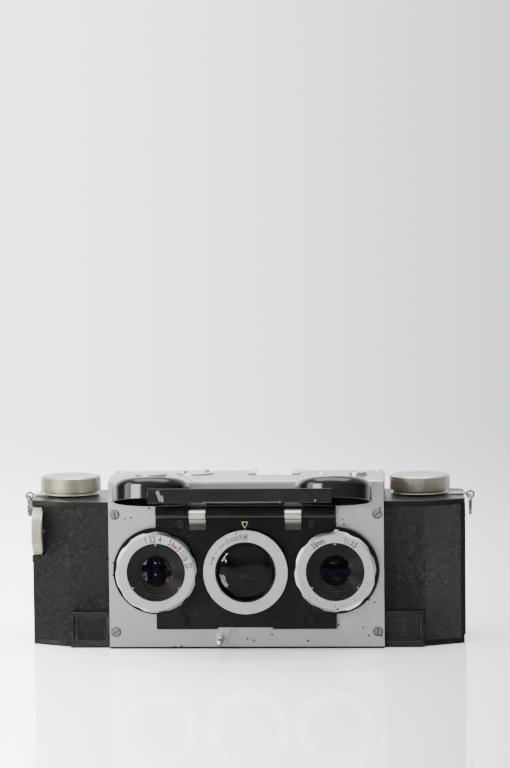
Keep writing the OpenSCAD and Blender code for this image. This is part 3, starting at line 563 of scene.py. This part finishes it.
EDGE_WIDTHS = {
    "front_panel": 0.18 * mm, "top_hood": 0.25 * mm, "lens_board": 0.15 * mm, "body_casting": 0.3 * mm,
    "back_cover": 0.5 * mm, "window_frames": 0.2 * mm, "lens_cover": 0.15 * mm, "speed_ring": 0.2 * mm,
    "hinge_clips": 0.15 * mm, "strap_lugs": 0.15 * mm, "accessory_shoe": 0.15 * mm,
    "cocking_lever": 0.15 * mm, "shutter_button": 0.3 * mm, "film_release_button": 0.3 * mm,
    "release_collar": 0.2 * mm, "front_cells": 0.12 * mm, "finder_tube": 0.12 * mm,
    "aperture_ring": 0.15 * mm, "twin_aperture_ring": 0.15 * mm, "panel_screws": 0.1 * mm,
    "focus_wheel": 0.1 * mm, "winding_knob": 0.12 * mm, "rewind_knob": 0.12 * mm,
}
for node, width in EDGE_WIDTHS.items():
    copy = softened(node, width)
    print(node, "faces", len(copy.data.polygons))

# %% [markdown]
# ## Markings on the rings
# The numbers are a font turned into a mesh that stands hardly proud of the metal, like paint
# that fills an engraving. The stops stand with their heads outwards. The speed
# ring's numbers lie along its radius, because ten of them share a short arc.

# %% Text as meshes
def text_mesh(words, height, narrow=1.0, depth=0.03 * mm, bold=0.09 * mm):
    """A bmesh of words, centred on the origin, in the XY plane, with its face towards +Z."""
    letters = bpy.data.curves.new("letters", "FONT")
    letters.body = words
    letters.size = height * 1.4
    letters.align_x = "CENTER"
    letters.align_y = "CENTER"
    letters.extrude = depth / 2
    letters.resolution_u = 3
    letters.offset = bold
    holder = bpy.data.objects.new("letters", letters)
    bpy.context.scene.collection.objects.link(holder)
    bpy.context.view_layer.update()
    mesh = bpy.data.meshes.new_from_object(holder.evaluated_get(bpy.context.evaluated_depsgraph_get()))
    bpy.data.objects.remove(holder)
    bm = bmesh.new()
    bm.from_mesh(mesh)
    bpy.data.meshes.remove(mesh)
    bmesh.ops.scale(bm, vec=(narrow, 1, 1), verts=bm.verts)
    return bm


def box_mesh(width, height, depth):
    """A bmesh of a flat block, centred on the origin."""
    bm = bmesh.new()
    bmesh.ops.create_cube(bm, size=1)
    bmesh.ops.scale(bm, vec=(width, height, depth), verts=bm.verts)
    return bm


FACE_FRONT = Matrix(((1, 0, 0, 0), (0, 0, -1, 0), (0, 1, 0, 0), (0, 0, 0, 1)))


def on_dial(centre, radius, angle, turn=0.0):
    """Where a mark goes on a dial: at an angle, with its head turned outwards."""
    around = Matrix.Rotation(radians(angle - 90), 4, "Z")
    out = Matrix.Translation((0, radius, 0))
    return Matrix.Translation(centre) @ FACE_FRONT @ around @ out @ Matrix.Rotation(radians(turn), 4, "Z")


def join_marks(marks):
    """Joins pairs of bmesh and place into one bmesh."""
    whole = bmesh.new()
    for bm, place in marks:
        bmesh.ops.transform(bm, matrix=place, verts=bm.verts)
        part = bpy.data.meshes.new("mark")
        bm.to_mesh(part)
        bm.free()
        whole.from_mesh(part)
        bpy.data.meshes.remove(part)
    return whole


def mark_piece(name, marks, finish, body):
    """Makes one piece of many marks."""
    whole = join_marks(marks)
    mesh = bpy.data.meshes.new(name)
    whole.to_mesh(mesh)
    whole.free()
    return make_piece(name, mesh, finish, body, smooth=False)


# %% [markdown]
# ## The scale of stops
# Each number has its angle round the ring, in degrees from the right. The gaps are uneven, as
# on a real iris, and a red dot sits between two of the stops.

# %% Aperture scale
NUMBER_RADIUS = 13.0 * mm     # where the numbers stand on both lens rings
stops = {"f": 107, "3.5": 95, "4": 82, "5.6": 61, "8": 45, "11": 35, "16": 26, "22": 12}
stop_marks = [(text_mesh(words, 2.75 * mm, 0.52), on_dial(stop_ring, NUMBER_RADIUS, angle))
              for words, angle in stops.items()]
mark_piece("aperture_numbers", stop_marks, INK, "aperture_ring")


def dot_mesh(radius):
    """A flat round dot, centred on the origin."""
    bm = bmesh.new()
    bmesh.ops.create_cone(bm, cap_ends=True, segments=24, radius1=radius, radius2=radius * 0.8,
                          depth=0.06 * mm)
    return bm


mark_piece("aperture_dot", [(dot_mesh(0.8 * mm), on_dial(stop_ring, 12.6 * mm, 52))], RED_INK,
           "aperture_ring")

# %% [markdown]
# ## The scale of speeds
# Ten exposure times share the upper left of the ring. Each has a tick at the rim.

# %% Speed scale
SPEED_RADIUS = 13.7 * mm
TICK_RADIUS = 15.75 * mm
speeds = {"T": 163, "B": 156, "1": 145.5, "2": 134.6, "5": 127, "10": 119.5, "25": 111.3, "50": 103.7,
          "100": 96, "150": 88.4}
speed_marks = [(text_mesh(words, 1.5 * mm, 0.85, bold=0.05 * mm),
                on_dial(speed_dial, SPEED_RADIUS, angle, turn=90)) for words, angle in speeds.items()]
speed_marks += [(box_mesh(0.14 * mm, 0.7 * mm, 0.02 * mm), on_dial(speed_dial, TICK_RADIUS, angle))
                for angle in speeds.values()]
mark_piece("speed_numbers", speed_marks, INK, "speed_ring")
mark_piece("speed_dot", [(dot_mesh(0.6 * mm), on_dial(speed_dial, 15.7 * mm, 103))], RED_INK,
           "speed_ring")

# %% [markdown]
# ## The twin ring
# The right ring carries plain lens data above and a row of ticks below.

# %% Twin ring
twin_marks = [(text_mesh(words, 2.3 * mm, 0.7), on_dial(twin_ring, NUMBER_RADIUS, angle))
              for words, angle in {"1": 72, ":": 66, "3.5": 56, "35": 128, "mm": 116}.items()]
twin_marks += [(box_mesh(0.2 * mm, (1.5 if i % 5 == 0 else 0.9) * mm, 0.03 * mm),
                on_dial(twin_ring, 13.4 * mm, 200 + 7 * i)) for i in range(21)]
mark_piece("twin_numbers", twin_marks, INK, "twin_aperture_ring")
print("marked", len(stops), "stops and", len(speeds), "speeds")

# %% [markdown]
# ## Index mark on the lens board
# An outlined triangle points down at the speed ring. It is three thin bars, painted pale gold.

# %% Index triangle
board_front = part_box("lens_board")[0][1] + 0.5 * mm
triangle = [Vector((-1.25, 1.2, 0)) * mm, Vector((1.25, 1.2, 0)) * mm, Vector((0, -1.25, 0)) * mm]
triangle_centre = Vector((-0.3 * mm, board_front - 0.02 * mm, 49.0 * mm))
bars = []
for i in range(3):
    start, end = triangle[i], triangle[(i + 1) % 3]
    run = end - start
    place = Matrix.Translation((start + end) / 2) @ run.to_track_quat("X", "Z").to_matrix().to_4x4()
    bars.append((box_mesh(run.length + 0.2 * mm, 0.22 * mm, 0.04 * mm),
                 Matrix.Translation(triangle_centre) @ FACE_FRONT @ place))
mark_piece("index_triangle", bars, PALE_INK, "camera_body")

# %% [markdown]
# ## Small fittings on the lenses
# Each lens cell is locked by three pins whose bright ends show as dots, and the right ring has
# a small grip on top. A pin's end is a tiny dome, so a squashed sphere is enough.

# %% Lens pins and the grip
def dome_mesh(radius, height):
    """A low dome, centred on the origin, bulging towards +Z."""
    bm = bmesh.new()
    bmesh.ops.create_uvsphere(bm, u_segments=16, v_segments=8, radius=radius)
    bmesh.ops.scale(bm, vec=(1, 1, height / radius), verts=bm.verts)
    return bm


cell_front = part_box("front_cells")[0][1]
PIN_RADIUS = 10.9 * mm
pins = []
for ring in (stop_ring, twin_ring):
    for angle in (90, 215, 325):
        pins.append((dome_mesh(0.3 * mm, 0.12 * mm),
                     on_dial(Vector((ring.x, cell_front, ring.z)), PIN_RADIUS, angle)))
mark_piece("lens_pins", pins, CHROME, "camera_body")

grip = join_marks([(box_mesh(1.6 * mm, 0.9 * mm, 1.6 * mm),
                    on_dial(twin_ring + Vector((0, 1.4 * mm, 0)), 16.1 * mm, 88))])
round_edges(make_piece("ring_grip", mesh_from(grip, "ring_grip"), RING, "twin_aperture_ring"), 0.25 * mm, 3)

# %% [markdown]
# ## Marks on the cover
# The cover's finger lip carries a worn depth scale, a rivet, and a corner where the enamel has
# rubbed through to bright metal. They are laid out with the cover level, then turned with it
# about its hinge. The hinge's place and the cover's lean both come from the frame's joint.

# %% Cover marks
hinge = next(joint for joint in frame["record"]["behaviour"]["joints"] if joint["name"] == "cover_hinge")
lean = radians(hinge["range_deg"][1] - 90)
COVER = Matrix.Translation(hinge["pos_m"]) @ Matrix.Rotation(-lean, 4, "X")
LIP_FRONT = -39.5 * mm    # how far the lip's face stands from the hinge
TICKS, TICK_STEP = 37, 0.8    # the depth scale's marks and their spacing in millimetres


def on_lip(x, z, turn=0.0):
    """Where a mark goes on the front of the lip: x along it and z up it, in millimetres."""
    spot = Matrix.Translation((x * mm, LIP_FRONT, z * mm))
    return COVER @ spot @ FACE_FRONT @ Matrix.Rotation(turn, 4, "Z")


scale = [(box_mesh(0.3 * mm, (0.75 if i % 9 == 0 else 0.4) * mm, 0.03 * mm),
          on_lip(-13.4 + i * TICK_STEP, 0.5)) for i in range(TICKS)]
mark_piece("cover_scale", scale, WORN_INK, "lens_cover")
mark_piece("cover_rivet", [(dome_mesh(0.35 * mm, 0.15 * mm), on_lip(28.8, 1.1))], SCREW, "lens_cover")
corner = [(box_mesh(1.3 * mm, 4.0 * mm, 0.05 * mm), on_lip(-30.6, 3.0, radians(20))),
          (box_mesh(1.0 * mm, 2.4 * mm, 0.05 * mm), on_lip(-29.4, 1.9, radians(6)))]
mark_piece("cover_worn_corner", corner, SCREW, "lens_cover")

# %% [markdown]
# ## Slots of the panel's screws
# A thin dark bar lies flush in each slot as painted shade in its recess, and a dark rim round
# each head is a painted shadow. The turns are the angles at which the screws were left.

# %% Painted shade in the slots
SCREW_TURNS = {(-51.4, 53.1): 100, (51.4, 53.1): 38, (-51.4, 6.7): 35, (51.4, 6.7): 80}


def rim_mesh(inner, outer, depth=0.03 * mm):
    """A flat ring with some thickness, centred on the origin."""
    bm = bmesh.new()
    steps = 32
    rows = [[bm.verts.new((r * cos(2 * pi * i / steps), r * sin(2 * pi * i / steps), z))
             for r, z in ((inner, 0), (outer, 0), (outer, depth), (inner, depth))] for i in range(steps)]
    for near, far in zip(rows, rows[1:] + rows[:1]):
        for k in range(4):
            bm.faces.new((near[k], near[(k + 1) % 4], far[(k + 1) % 4], far[k]))
    return bm


def on_front(x, front, z, turn=0):
    """Where a flat mark goes on a front face, turned by degrees; x and z in millimetres."""
    return Matrix.Translation((x * mm, front, z * mm)) @ FACE_FRONT @ Matrix.Rotation(radians(turn), 4, "Z")


screw_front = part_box("panel_screws")[0][1]
panel_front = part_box("front_panel")[0][1]
slots = [(box_mesh(3.0 * mm, 0.5 * mm, 0.03 * mm), on_front(x, screw_front, z, turn))
         for (x, z), turn in SCREW_TURNS.items()]
slots += [(rim_mesh(1.75 * mm, 2.0 * mm), on_front(x, panel_front, z))
          for x in (-51.4, 51.4) for z in (6.7, 53.1)]
# The bars and rims are painted shade, made of the black engraving paint.
mark_piece("screw_painted_shade", slots, INK, "camera_body")

# %% [markdown]
# ## Arrows on the knobs
# Each knob's top has an engraved arrow that bends round to show which way it turns.

# %% Knob arrows
def thicken(bm, push):
    """Extrudes every face of a flat bmesh by a vector, which makes it a slab."""
    grown = bmesh.ops.extrude_face_region(bm, geom=bm.faces[:])
    moved = [item for item in grown["geom"] if isinstance(item, bmesh.types.BMVert)]
    bmesh.ops.translate(bm, vec=push, verts=moved)


def arrow_mesh(radius, width, start, end):
    """A flat arc with an arrowhead at its end, in the XY plane."""
    bm = bmesh.new()
    steps = 14
    rows = []
    for i in range(steps + 1):
        angle = radians(start + (end - start) * i / steps)
        rows.append([bm.verts.new((r * cos(angle), r * sin(angle), 0))
                     for r in (radius - width / 2, radius + width / 2)])
    for near, far in zip(rows, rows[1:]):
        bm.faces.new((near[0], near[1], far[1], far[0]))
    tip = radians(end + (14 if end > start else -14))
    wings = [bm.verts.new((r * cos(radians(end)), r * sin(radians(end)), 0))
             for r in (radius - width * 1.6, radius + width * 1.6)]
    bm.faces.new((wings[0], wings[1], bm.verts.new((radius * cos(tip), radius * sin(tip), 0))))
    bmesh.ops.recalc_face_normals(bm, faces=bm.faces)
    thicken(bm, (0, 0, 0.03 * mm))
    bmesh.ops.recalc_face_normals(bm, faces=bm.faces)
    return bm


for knob, start, end in (("winding_knob", 20, 160), ("rewind_knob", 150, 40)):
    low, high = (Vector(corner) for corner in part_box(knob))
    top = Vector(((low.x + high.x) / 2, (low.y + high.y) / 2, high.z))
    arrow = [(arrow_mesh(5.2 * mm, 0.45 * mm, start, end), Matrix.Translation(top)),
             (box_mesh(0.45 * mm, 1.6 * mm, 0.03 * mm),
              Matrix.Translation(top + Vector((0.6 * mm, 3 * mm, 0))))]
    mark_piece(knob + "_arrow", arrow, INK, knob)

# %% [markdown]
# ## Split rings for the strap
# Each lug holds a split ring: wire wound nearly twice round, so that two strands lie side by
# side. A curve with a round bevel is the simplest way to draw wire.

# %% Split rings
def split_ring(name, node):
    """Winds a wire ring in the place of a CAD ring, and replaces it."""
    low, high = (Vector(corner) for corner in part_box(node))
    centre = (low + high) / 2
    wire = 0.33 * mm
    radius = (high.z - low.z) / 2 - wire
    path = bpy.data.curves.new(name, "CURVE")
    path.dimensions = "3D"
    path.bevel_depth = wire
    path.bevel_resolution = 3
    path.use_fill_caps = True
    turns, steps = 1.85, 64
    line = path.splines.new("POLY")
    line.points.add(steps)
    for i in range(steps + 1):
        angle = radians(100) + turns * 2 * pi * i / steps
        side = (i / steps - 0.5) * 3.1 * wire
        spot = centre + Vector((side, radius * cos(angle), radius * sin(angle)))
        line.points[i].co = (*spot, 1)
    holder = bpy.data.objects.new(name, path)
    bpy.context.scene.collection.objects.link(holder)
    bpy.context.view_layer.update()
    mesh = bpy.data.meshes.new_from_object(holder.evaluated_get(bpy.context.evaluated_depsgraph_get()))
    bpy.data.objects.remove(holder)
    made = make_piece(name, mesh, LUG, body_of_node[node])
    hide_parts(node)
    return made


split_ring("left_split_ring", "left_strap_ring")
split_ring("right_split_ring", "right_strap_ring")

# %% [markdown]
# ## Leather on the back and on the ends
# The CAD frame holds the two front skins. The back cover has a skin of its own, and so do the
# two ends. Each is a thin slab with rounded corners, a quarter to half a millimetre proud.

# %% Leather skins
def skin(name, corner_low, corner_high, across, body, radius=3 * mm):
    """A thin slab with rounded corners. across is the axis it faces along: 0 for X, 1 for Y."""
    low, high = Vector(corner_low), Vector(corner_high)
    flat = 1 - across
    outline = []
    for side_u, side_v, begin in ((1, 1, 0), (0, 1, 90), (0, 0, 180), (1, 0, 270)):
        u = high[flat] - radius if side_u else low[flat] + radius
        v = high.z - radius if side_v else low.z + radius
        for step in range(7):
            angle = radians(begin + 15 * step)
            outline.append((u + radius * cos(angle), v + radius * sin(angle)))
    bm = bmesh.new()
    corners = []
    for u, v in outline:
        spot = Vector((0, 0, v))
        spot[flat] = u
        spot[across] = low[across]
        corners.append(bm.verts.new(spot))
    bm.faces.new(corners)
    push = Vector((0, 0, 0))
    push[across] = high[across] - low[across]
    thicken(bm, push)
    made = make_piece(name, mesh_from(bm, name), LEATHER, body)
    round_edges(made, 0.08 * mm)


back_low, back_high = (Vector(corner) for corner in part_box("back_cover"))
case_low, case_high = (Vector(corner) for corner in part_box("body_casting"))
skin("back_leather", (back_low.x + 5 * mm, back_high.y - 0.05 * mm, 14 * mm),
     (back_high.x - 5 * mm, back_high.y + 0.25 * mm, back_high.z - 2.5 * mm), 1, "back_cover")
for label, x, out in (("left", case_low.x, -1), ("right", case_high.x, 1)):
    reach = sorted((x - out * 0.05 * mm, x + out * 0.5 * mm))
    front = 2.5 * mm if label == "left" else -7.5 * mm
    top = case_high.z - 2.2 * mm
    skin(label + "_end_leather", (reach[0], front, 3 * mm), (reach[1], case_high.y - 1.5 * mm, top), 0,
         "camera_body", radius=1 * mm)

# %% [markdown]
# ## The table
# The camera stands on a pale, polished top that mirrors it softly. Only the camera's own view
# sees the table's full brightness, which is painted light, brighter on the left like the
# backdrop, so that the top doesn't light the object from below.

# %% Table
# Painted light: the table's brightness as the camera sees it.
TABLE_PAINTED_LIGHT = 1.3         # how pale the table looks to the camera
TABLE_SHINE = 0.6         # how much of what it shows is mirrored


def table_top():
    """A wide top that shines near the object and melts into the backdrop far behind it."""
    bm = bmesh.new()
    bmesh.ops.create_grid(bm, x_segments=1, y_segments=1, size=3)
    mesh = mesh_from(bm, "table")
    made = bpy.data.materials.new("polished pale table")
    made.use_nodes = True
    tree = made.node_tree
    spot = add_node(tree, "ShaderNodeTexCoord").outputs["Object"]
    where = add_node(tree, "ShaderNodeSeparateXYZ", i0=spot)
    seen = add_node(tree, "ShaderNodeLightPath").outputs["Is Camera Ray"]
    across = add_node(tree, "ShaderNodeMath", {"operation": "SUBTRACT"}, i0=where.outputs["X"], i1=EYE.x)
    away = add_node(tree, "ShaderNodeMath", {"operation": "SUBTRACT"}, i0=where.outputs["Y"], i1=EYE.y)
    slope = add_node(tree, "ShaderNodeMath", {"operation": "DIVIDE"}, i0=across.outputs[0],
                     i1=away.outputs[0])
    # Painted light: the camera sees the table's colour follow the backdrop's brightness, brighter on the
    # left; other rays see plain grey.
    level = backdrop_level(tree, slope.outputs[0])
    bright = multiply(tree, level, TABLE_PAINTED_LIGHT)
    painted_table_light = add_node(tree, "ShaderNodeMapRange", Value=seen, To_Min=0.6, To_Max=bright).outputs["Result"]
    dull = add_node(tree, "ShaderNodeBsdfDiffuse", Color=painted_table_light)
    shine = add_node(tree, "ShaderNodeBsdfGlossy", Color=(0.97, 0.985, 1, 1), Roughness=0.06)
    near = add_node(tree, "ShaderNodeMixShader", i0=TABLE_SHINE, i1=dull.outputs[0], i2=shine.outputs[0])
    # Far behind the object the table glows with the backdrop's light instead.
    far = add_node(tree, "ShaderNodeEmission", Color=BACKDROP_TINT, Strength=level)
    depth = ramp(tree, where.outputs["Y"], 0.1, 0.9)
    both = add_node(tree, "ShaderNodeMixShader", i0=depth, i1=near.outputs[0], i2=far.outputs[0])
    tree.links.new(both.outputs[0], tree.nodes["Material Output"].inputs["Surface"])
    mesh.materials.append(made)
    top = bpy.data.objects.new("table", mesh)
    bpy.context.scene.collection.objects.link(top)


table_top()
